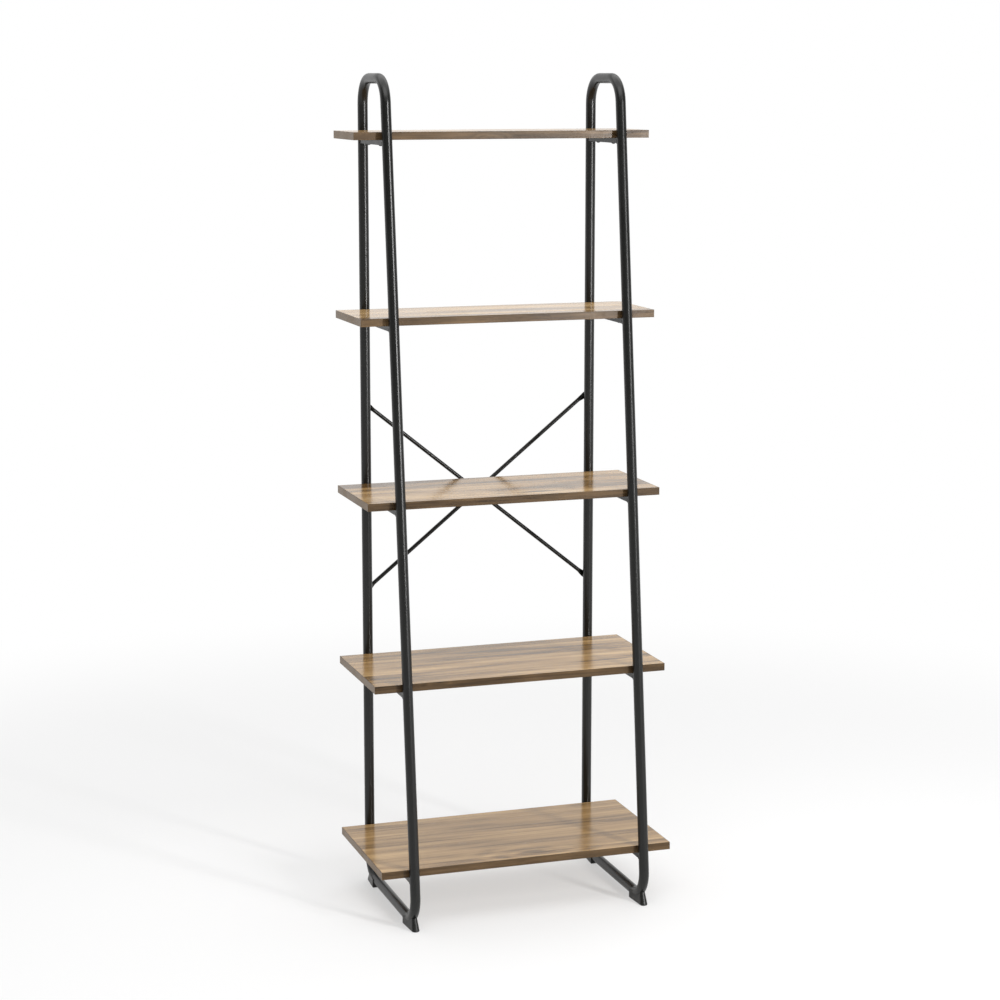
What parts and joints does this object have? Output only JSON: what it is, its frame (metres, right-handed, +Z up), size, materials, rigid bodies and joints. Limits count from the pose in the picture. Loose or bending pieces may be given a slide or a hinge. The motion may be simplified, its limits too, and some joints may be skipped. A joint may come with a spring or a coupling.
{
  "type": "ladder shelf",
  "caption": "Free-standing ladder shelf: bent round-tube side frames with a leaning front leg, wood-decor boards that grow deeper downwards, a crossed rear brace and saddle feet.",
  "frame": {"origin": "on the floor, under the middle of the overall box", "axes": "+X along the boards to the right as seen from the front, +Y from the front to the rear, +Z up"},
  "size_m": [0.6, 0.3599, 1.64],
  "materials": {
    "frame_coat": "satin black powder coat on bent steel tube",
    "bar_coat": "satin black powder coat on rectangular steel tube",
    "brace_coat": "satin black powder coat on steel rod",
    "board_decor": "semi-matt brown oak decor on chipboard",
    "edge_decor": "semi-matt brown edge band",
    "foot_plastic": "matt black moulded plastic",
    "screw_black": "black oxide steel"
  },
  "bodies": {
    "root": {"left_side_frame": "frame_coat", "front_left_foot": "foot_plastic", "rear_left_foot": "foot_plastic", "right_side_frame": "frame_coat", "front_right_foot": "foot_plastic", "rear_right_foot": "foot_plastic", "bottom_board": "board_decor", "bottom_edge_band": "edge_decor", "bottom_board_screws": "screw_black", "left_bottom_bar": "bar_coat", "right_bottom_bar": "bar_coat", "lower_board": "board_decor", "lower_edge_band": "edge_decor", "lower_board_screws": "screw_black", "left_lower_bar": "bar_coat", "right_lower_bar": "bar_coat", "middle_board": "board_decor", "middle_edge_band": "edge_decor", "middle_board_screws": "screw_black", "left_middle_bar": "bar_coat", "right_middle_bar": "bar_coat", "upper_board": "board_decor", "upper_edge_band": "edge_decor", "upper_board_screws": "screw_black", "left_upper_bar": "bar_coat", "right_upper_bar": "bar_coat", "top_board": "board_decor", "top_edge_band": "edge_decor", "top_board_screws": "screw_black", "left_top_bar": "bar_coat", "right_top_bar": "bar_coat", "rising_brace": "brace_coat", "falling_brace": "brace_coat", "brace_bolts": "screw_black", "brace_inserts": "screw_black"}
  },
  "joints": []
}
